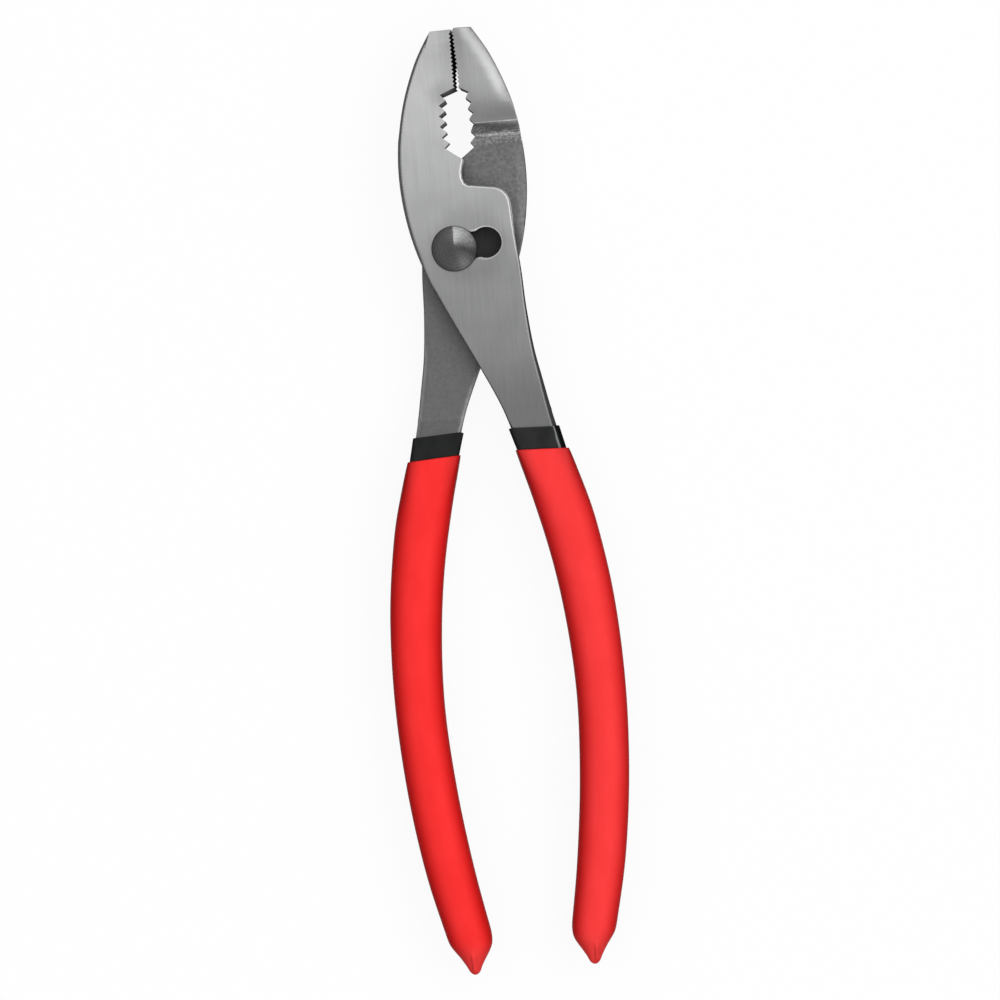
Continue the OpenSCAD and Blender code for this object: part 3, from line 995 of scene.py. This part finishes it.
def groundSteel(at):
    # painted light: paler towards the tips and darker towards the handle, as the light falls along the tool,
    # with the grinder's streaks
    look = groundLook
    tone = times(at["streaks"], look["streakShare"])
    tone = plus(tone, times(at["clouds"], 1 - look["streakShare"]))
    grain = spread(tone, *noiseSpan, 1 - look["streak"], 1 + look["streak"])
    colour = timesGrey(toneAlong(at["y"], look["tone"], *look["toneSpan"], mm), grain)
    # painted shade: darker beside the flats, round the joint and at a spot by the upper teeth
    beside = times(fall(at["apartX"], *look["flatsX"]), spread(at["y"], *look["noseY"]))
    colour = timesGrey(colour, shade(beside, look["flatsShare"]))
    apart = distance(at["spot"], look["jointMiddle"])
    colour = timesGrey(colour, spread(apart, *look["jointR"], look["jointShade"], 1.0))
    shadeSpot = distance(flatSpot(at["x"], at["y"]), look["shadeSpotAt"])
    colour = timesGrey(colour, spread(shadeSpot, *look["shadeSpotR"], look["shadeSpot"], 1.0))
    # painted highlight: brighter on the edges that lean away from the face, most round the slot
    rim = times(fall(at["flatness"], *look["rimFacing"]), minus(1.0, at["lapSide"]))
    gain = spread(apart, *look["ringR"], look["ring"] - 1, look["rim"] - 1)
    colour = timesGrey(colour, plus(1.0, times(rim, gain)))
    # painted shade: the lap side's ground faces are painted darker, most towards the step
    nose = spread(at["y"], *look["noseY"], look["stepShare"], look["noseShare"])
    return timesGrey(colour, plus(1.0, times(at["lapSide"], minus(nose, 1.0))))


def forgedSteel(at):
    # rough and mottled, darker on the handle, with a paler line under the step
    look = forgedLook
    mottle = minus(spread(at["pits"], *noiseSpan), 0.5)
    mottle = plus(times(mottle, at["pitted"]), 0.5)
    colour = mixed(mottle, grey(look["dark"]), grey(look["light"]))
    colour = timesGrey(colour, spread(at["y"], *steel["handleY"], look["handle"], 1.0))
    wavy = plus(at["y"], times(minus(at["clouds"], 0.5), look["lineWave"]))
    line = band(wavy, look["lineRise"], look["lineDrop"])
    line = times(line, spread(at["pits"], *look["linePits"]))
    colour = timesGrey(colour, shade(line, look["line"]))
    # painted highlight: brighter on the soft edges of the head and on the handle's sides
    litEdge = times(fall(at["flatness"], *look["edgeHighlightFacing"]), spread(at["y"], *look["edgeHighlightY"]))
    litEdge = times(litEdge, spread(at["pits"], *look["edgeHighlightPits"]))
    colour = timesGrey(colour, shade(litEdge, look["edgeHighlight"]))
    litEdge = times(spread(at["aside"], *look["handleHighlightFacing"]), fall(at["y"], *look["handleHighlightY"]))
    return timesGrey(colour, shade(litEdge, look["handleHighlight"]))


def wallSteel(at):
    # painted shade: dark on the drafted sides and in the slot, paler along the left jaw and darker along the
    # right handle
    look = wallLook
    leftOf = minus(spread(at["y"], *look["jawY"], *look["leftX"]), at["x"])
    colour = mixed(spread(leftOf, 0, look["over"]), grey(look["wall"]), grey(look["left"]))
    colour = mixed(spread(at["x"], *look["rightX"]), colour, grey(look["right"]))
    flank = band(at["y"], look["flankRise"], look["flankDrop"])
    flank = times(flank, fall(at["apartX"], *look["flankX"]))
    return mixed(flank, colour, grey(look["flank"]))


def filedShare(at):
    # the tips and the rear jaw's outer side are bright from the file
    look = wallLook
    start = spread(at["y"], *look["jawY"], *look["filedX"])
    filed = spread(minus(at["x"], start), 0, look["over"])
    filed = times(filed, spread(at["y"], *look["filedY"]))
    return larger(filed, spread(at["y"], *look["tipY"]))


def steelFinish(name, outward):
    finish, shader = newFinish(name)
    at = steelPlaces(outward)
    faces = mixed(at["recess"], groundSteel(at), forgedSteel(at))
    # painted light: the step's slope is painted much brighter and is kept out of the painted wall shade
    step = times(band(at["y"], stepLook["rise"], stepLook["drop"]), at["lapSide"])
    sloped = times(step, fall(at["flatness"], *stepLook["facing"]))
    mottle = plus(at["pits"], at["clouds"])
    sloped = times(sloped, spread(mottle, *stepLook["mottle"]))
    sloped = times(sloped, spread(at["y"], *stepLook["foot"]))
    faces = timesGrey(faces, shade(sloped, stepLook["lift"]))
    # painted shade: the steep walls lose their metal and take the dark wall tones, the filed ones keep the
    # metal but are painted a little darker
    walls = times(fall(at["flatness"], *wallLook["facing"]), minus(1.0, step))
    filed = times(filedShare(at), walls)
    walls = minus(walls, filed)
    faces = timesGrey(faces, shade(filed, wallLook["filed"]))
    colour = mixed(walls, faces, wallSteel(at))
    # painted shade: the lap under the open second seat is painted near black, as it lies deep in shade there
    seatShaded = fall(distance(at["spot"], seatShade["at"]), *seatShade["reach"])
    colour = mixed(times(seatShaded, at["lapSide"]), colour, grey(seatShade["tone"]))
    plug(shader.inputs["Base Color"], colour)
    plug(shader.inputs["Metallic"], minus(1.0, walls))
    plug(shader.inputs["Specular IOR Level"], 0.0)
    rough = spread(at["recess"], 0, 1, *steel["rough"], smooth=False)
    rough = plus(rough, times(minus(at["streaks"], 0.5), steel["roughStreak"]))
    plug(shader.inputs["Roughness"], rough)
    relief = times(at["pits"], times(at["recess"], at["pitted"]))
    relief = times(relief, steel["bumpPits"])
    relief = plus(times(at["streaks"], steel["bumpStreaks"]), relief)
    addBump(shader, relief, steel["bump"], steel["bumpHigh"])
    return finish


# turned steel of the bolt and the nut
turned = {
    "grain": (evenly, 1500, 4), "clouds": (evenly, 300, 3), "cloudy": 0.15,
    "rough": 0.3, "roughSpan": (-0.05, 0.07), "stretch": 0.6,
    "wave": {"Distortion": 3.5, "Detail": 2.0, "Detail Scale": 2.0},   # tool marks
    "marks": (0.91, 1.09), "bumpMarks": 0.25, "bumpGrain": 0.3, "bump": 0.4, "bumpHigh": 0.03 * mm,
    # painted shade: a dark painted shadow round the head's rim and a darker eye in its middle
    "rim": 4.8 * mm, "rimOver": 0.25 * mm, "rimShade": 0.25, "eye": 0.27, "eyeR": 0.3 * mm, "waver": 0.35,
    "reachY": (-1.5 * mm, 0.5 * mm), "reach": (4.4 * mm, 1.8 * mm),   # the lower painted glint stays by the rim
}
boltLook = {
    "level": 0.3, "rings": 430,
    "paintedGlints": [   # painted reflection: how bright the head is painted, by the angle round it in degrees
        (-180, 0.085), (-100, 0.075), (-82, 0.09), (-64, 0.125), (-52, 0.105), (-35, 0.06), (-22, 0.035),
        (-8, 0.04), (10, 0.075), (30, 0.12), (50, 0.19), (70, 0.30), (85, 0.38), (92, 0.095),
        (130, 0.08), (180, 0.085),
    ],
}
nutLook = {"level": 0.28, "rings": 500, "paintedGlints": None}


def paintedGlintColour(place, clouds, marks, look):
    # painted reflection: the glints, the dark eye and the shadowed rim are painted into the head's colour
    x, y = place["X"], place["Y"]
    angle = sums("ARCTAN2", y, x)
    angle = plus(angle, times(minus(clouds, 0.5), turned["waver"]))
    catch = toneAlong(angle, look["paintedGlints"], -180, 180, math.radians(1))
    radius = put("ShaderNodeVectorMath", {0: flatSpot(x, y)}, operation="LENGTH").outputs["Value"]
    reach = spread(y, *turned["reachY"], *turned["reach"])
    eye = grey(look["level"] * turned["eye"])
    colour = mixed(spread(radius, turned["eyeR"], reach), eye, catch)
    colour = timesGrey(colour, spread(marks, 0, 1, *turned["marks"], smooth=False))
    rimEnd = turned["rim"] + turned["rimOver"]
    return timesGrey(colour, spread(radius, turned["rim"], rimEnd, 1.0, turned["rimShade"]))


def turnedFinish(name, look):
    finish, shader = newFinish(name)
    spot = put("ShaderNodeTexCoord").outputs["Object"]
    grain = noiseOf(spot, *turned["grain"])
    clouds = noiseOf(spot, *turned["clouds"])
    settings = dict(turned["wave"], Vector=spot, Scale=look["rings"])
    marks = put("ShaderNodeTexWave", settings, wave_type="RINGS", rings_direction="Z").outputs["Fac"]
    if look["paintedGlints"]:
        colour = paintedGlintColour(split(spot), clouds, marks, look)
    else:
        dark, light = look["level"] * (1 - turned["cloudy"]), look["level"] * (1 + turned["cloudy"])
        colour = mixed(spread(clouds, *noiseSpan), grey(dark), grey(light))
    plug(shader.inputs["Base Color"], colour)
    plug(shader.inputs["Metallic"], 1.0)
    plug(shader.inputs["Anisotropic"], turned["stretch"])
    tangent = put("ShaderNodeTangent", direction_type="RADIAL", axis="Z")
    plug(shader.inputs["Tangent"], tangent.outputs[0])
    less, more = turned["roughSpan"]
    rough = spread(grain, *noiseSpan, turned["rough"] + less, turned["rough"] + more)
    plug(shader.inputs["Roughness"], rough)
    relief = plus(times(marks, turned["bumpMarks"]), times(grain, turned["bumpGrain"]))
    addBump(shader, relief, turned["bump"], turned["bumpHigh"])
    return finish


# dipped vinyl of the sleeves and the grips, with painted shade darker down the sides
vinyl = {
    "clouds": ((1, 0.5, 1), 220, 3), "skin": (evenly, 2400, 3), "upright": 0.95,
    "bumpClouds": 1.0, "bumpSkin": 0.12, "bump": 0.25, "bumpHigh": 0.15 * mm,
}
blackCoat = {
    "dark": (0.017, 0.0175, 0.0175, 1), "light": (0.024, 0.0245, 0.0245, 1),
    "deep": (0.017, 0.0175, 0.0175, 1), "side": (0.007, 0.0075, 0.0075, 1),
    "rough": (0.34, 0.46), "gloss": 0.0, "lip": None, "drip": None,
    "edgeSheen": {    # painted highlight: the edge towards the light is painted pale
        "tone": 0.22, "rise": (0.68, 0.78), "drop": (0.86, 0.96), "facing": (0.15, 0.4),
        "fromX": (4 * mm, 6 * mm),
    },
}
redCoat = {
    "dark": (0.91, 0.031, 0.030, 1), "light": (0.95, 0.036, 0.035, 1),
    "deep": (0.93, 0.003, 0.003, 1), "side": (0.31, 0.002, 0.002, 1),
    "rough": (0.42, 0.52), "gloss": 0.02, "edgeSheen": None,
    "lip": {    # painted shade: darker along both sides below the dip line
        "dark": 0.6, "at": 12.27 * mm, "atY": -46.5 * mm, "slope": 0.267,
        "from": 1.83 * mm, "to": 5.795 * mm, "down": 15 * mm,
    },
    "drip": {   # painted highlight: the drip at the end is painted paler
        "colour": (0.97, 0.075, 0.07, 1), "fromY": (-158 * mm, -152.5 * mm), "share": 0.5,
    },
}
# painted light: the right handle's coats are painted paler, as more light falls on that side
blackPaler = dict(blackCoat, dark=(0.023, 0.0235, 0.0235, 1), light=(0.033, 0.0335, 0.0335, 1))
redPaler = dict(redCoat, dark=(0.91, 0.043, 0.043, 1), light=(0.95, 0.049, 0.050, 1))


def lipShade(place, lip):
    # painted shade by the distance from the grip's middle line, which leans outwards below the lip
    apart = sizeOf(minus(place["X"], joint["axisX"]))
    down = minus(lip["atY"], place["Y"])
    middle = plus(times(down, lip["slope"]), lip["at"])
    edge = spread(sizeOf(minus(apart, middle)), lip["from"], lip["to"])
    edge = times(edge, fall(down, 0, lip["down"]))
    return shade(edge, lip["dark"])


def paintedEdgeSheen(place, facing, up, edgeSheen):
    edge = band(up, edgeSheen["rise"], edgeSheen["drop"])
    edge = times(edge, spread(facing["X"], *edgeSheen["facing"]))
    return times(edge, spread(place["X"], *edgeSheen["fromX"]))


def vinylFinish(name, coat):
    finish, shader = newFinish(name)
    coords = put("ShaderNodeTexCoord")
    spot = coords.outputs["Object"]
    place, facing = split(spot), split(coords.outputs["Normal"])
    up = sizeOf(facing["Z"])
    clouds = noiseOf(spot, *vinyl["clouds"])
    skin = noiseOf(spot, *vinyl["skin"])
    colour = mixed(spread(clouds, *noiseSpan), coat["dark"], coat["light"])
    # painted shade: darker and deeper in colour where the coat turns to the side
    level = spread(up, 0.0, vinyl["upright"], smooth=False)
    colour = mixed(level, coat["side"], mixed(level, coat["deep"], colour))
    if coat["lip"]:
        colour = timesGrey(colour, lipShade(place, coat["lip"]))
    # painted highlight: the drip's end is painted paler
    if coat["drip"]:
        end = coat["drip"]
        share = spread(place["Y"], *end["fromY"], end["share"], 0.0)
        colour = mixed(share, colour, end["colour"])
    # painted highlight on the edge towards the light
    if coat["edgeSheen"]:
        edge = paintedEdgeSheen(place, facing, up, coat["edgeSheen"])
        colour = mixed(edge, colour, grey(coat["edgeSheen"]["tone"]))
    plug(shader.inputs["Base Color"], colour)
    plug(shader.inputs["Roughness"], spread(skin, *noiseSpan, *coat["rough"]))
    plug(shader.inputs["Specular IOR Level"], coat["gloss"])
    relief = plus(times(clouds, vinyl["bumpClouds"]), times(skin, vinyl["bumpSkin"]))
    addBump(shader, relief, vinyl["bump"], vinyl["bumpHigh"])
    return finish


frontSteel = steelFinish("satin ground steel, front", 1)
rearSteel = steelFinish("satin ground steel, rear", -1)
boltSteel = turnedFinish("turned bolt steel", boltLook)
nutSteel = turnedFinish("plain nut steel", nutLook)
blackVinyl = vinylFinish("black dipped vinyl", blackCoat)
blackVinylPaler = vinylFinish("black dipped vinyl, paler", blackPaler)
redVinyl = vinylFinish("red dipped vinyl", redCoat)
redVinylPaler = vinylFinish("red dipped vinyl, paler", redPaler)

pieces = [
    (frontForging, frontSteel, "front", "front_half"),
    (rearForging, rearSteel, "rear", "rear_half"),
    (frontSleeve, blackVinylPaler, "front", "front_inner_sleeve"),
    (rearSleeve, blackVinyl, "rear", "rear_inner_sleeve"),
    (frontGrip, redVinylPaler, "front", "front_grip"),
    (rearGrip, redVinyl, "rear", "rear_grip"),
    (pivotBolt, boltSteel, "pivot", "pivot_bolt"),
    (pivotNut, nutSteel, "pivot", "pivot_nut"),
]
for piece, finish, body, node in pieces:
    piece.data.materials.clear()
    piece.data.materials.append(finish)
    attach(piece, body)
    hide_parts(node)
print("finishes on", len(pieces), "pieces")


# floor and soft light
studio = {
    "floorSize": 8.0, "floorZ": -0.02 * mm, "floorTone": 0.9, "floorBounce": 0.1, "floorGlow": 0.92,
    "horizon": 0.06, "ring": 1.32, "ringZ": (0.2, 0.72), "topDip": 0.45, "topZ": (0.78, 1.0),
    "rightLean": 0.5, "backLean": 0.1,
    "key": {"at": (0.55, 0.25, 0.75), "size": 0.5, "watts": 0.6},
}
white = (1, 1, 1, 1)

bpy.ops.object.select_all(action="DESELECT")
bpy.ops.mesh.primitive_plane_add(size=studio["floorSize"], location=(0, 0, studio["floorZ"]))
floor = bpy.context.active_object
floor.name = "pale-floor"
paleFloor = bpy.data.materials.new("pale floor")
startTree(paleFloor).clear()
rays = put("ShaderNodeLightPath").outputs
seen = larger(rays["Is Camera Ray"], rays["Is Glossy Ray"])
seen = larger(seen, rays["Is Transmission Ray"])
tone = mixed(seen, grey(studio["floorBounce"], 0), grey(studio["floorTone"], 0))
flat = put("ShaderNodeBsdfDiffuse", {"Color": tone})
glow = put("ShaderNodeEmission", {"Color": white, "Strength": 1.0})
share = times(seen, studio["floorGlow"])
both = put("ShaderNodeMixShader", {0: share, 1: flat.outputs[0], 2: glow.outputs[0]})
put("ShaderNodeOutputMaterial", {"Surface": both.outputs[0]})
floor.data.materials.append(paleFloor)

# soft tent: brightest half way up, dimmer at the horizon and where the camera hangs, leaning to the right
surroundings = bpy.data.worlds.new("soft tent")
background = startTree(surroundings)["Background"]
sky = split(put("ShaderNodeTexCoord").outputs["Generated"])
level = plus(studio["horizon"], spread(sky["Z"], *studio["ringZ"], 0.0, studio["ring"]))
level = minus(level, spread(sky["Z"], *studio["topZ"], 0.0, studio["topDip"]))
lean = times(sky["X"], studio["rightLean"])
lean = plus(lean, times(sky["Y"], studio["backLean"]))
level = times(level, plus(1.0, lean))
plug(background.inputs["Strength"], level)
plug(background.inputs["Color"], white)
bpy.context.scene.world = surroundings

key = studio["key"]
lamp = bpy.data.lights.new("key softbox", "AREA")
lamp.shape = "SQUARE"
lamp.size = key["size"]
lamp.energy = key["watts"]
softbox = bpy.data.objects.new("key-softbox", lamp)
softbox.location = key["at"]
aim = Vector((view["centre"][0], view["centre"][1], 0)) - Vector(key["at"])
softbox.rotation_euler = aim.to_track_quat("-Z", "Y").to_euler()
bpy.context.scene.collection.objects.link(softbox)
print("studio lit")
